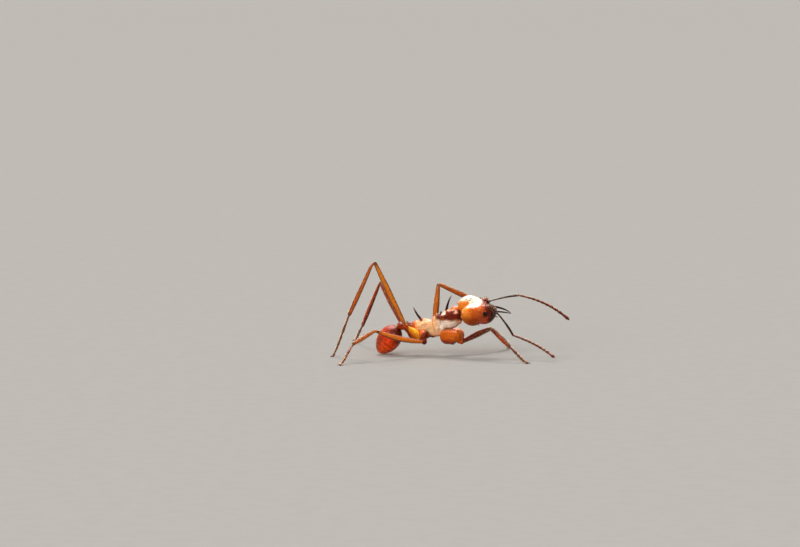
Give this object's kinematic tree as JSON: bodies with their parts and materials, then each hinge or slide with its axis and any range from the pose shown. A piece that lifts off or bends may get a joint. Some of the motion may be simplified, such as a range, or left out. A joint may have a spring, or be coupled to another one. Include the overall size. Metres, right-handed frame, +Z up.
{
  "type": "leafcutter ant",
  "caption": "Walking leafcutter ant: two-lobed head tilted to one side, spined trunk, thin knotted waist, hanging egg-shaped gaster, a raised middle leg and a hind leg stretched back.",
  "frame": {"origin": "on the ground under the middle of the whole ant's bounding box, feelers and feet included", "axes": "+X ahead, the way the trunk points and the ant walks, +Y to the ant's left, +Z up; the soles of five feet stand on Z = 0"},
  "size_m": [0.0166, 0.016, 0.0067],
  "materials": {
    "amber_cuticle": "glossy amber orange cuticle, finely ridged on the head",
    "dark_cuticle": "glossy dark maroon cuticle",
    "gaster_cuticle": "glossy red-orange cuticle, darker on top",
    "leg_cuticle": "glossy orange-brown cuticle with darker joints",
    "antenna_cuticle": "dark brown cuticle with a velvety down",
    "eye": "near-black facets"
  },
  "bodies": {
    "root": {"head": "amber_cuticle", "left_eye": "eye", "left_mandible": "dark_cuticle", "right_eye": "eye", "right_mandible": "dark_cuticle", "right_scape": "antenna_cuticle", "right_funiculus_inner": "antenna_cuticle", "right_funiculus_outer": "antenna_cuticle", "left_scape": "antenna_cuticle", "left_funiculus_inner": "antenna_cuticle", "left_funiculus_outer": "antenna_cuticle", "pronotum": "dark_cuticle", "mesonotum": "dark_cuticle", "propodeum": "amber_cuticle", "petiole": "gaster_cuticle", "postpetiole": "gaster_cuticle", "gaster": "gaster_cuticle", "right_fore_coxa": "leg_cuticle", "right_fore_femur": "dark_cuticle", "right_fore_tibia": "dark_cuticle", "right_fore_tarsus": "dark_cuticle", "left_fore_coxa": "leg_cuticle", "left_fore_femur": "leg_cuticle", "left_fore_tibia": "leg_cuticle", "left_fore_tarsus": "leg_cuticle", "right_middle_coxa": "leg_cuticle", "right_middle_femur": "leg_cuticle", "right_middle_tibia": "leg_cuticle", "right_middle_tarsus": "leg_cuticle", "left_middle_coxa": "leg_cuticle", "left_middle_femur": "leg_cuticle", "left_middle_tibia": "leg_cuticle", "left_middle_tarsus": "leg_cuticle", "right_hind_coxa": "leg_cuticle", "right_hind_femur": "leg_cuticle", "right_hind_tibia": "leg_cuticle", "right_hind_tarsus": "leg_cuticle", "left_hind_coxa": "leg_cuticle", "left_hind_femur": "leg_cuticle", "left_hind_tibia": "leg_cuticle", "left_hind_tarsus": "leg_cuticle"}
  },
  "joints": []
}
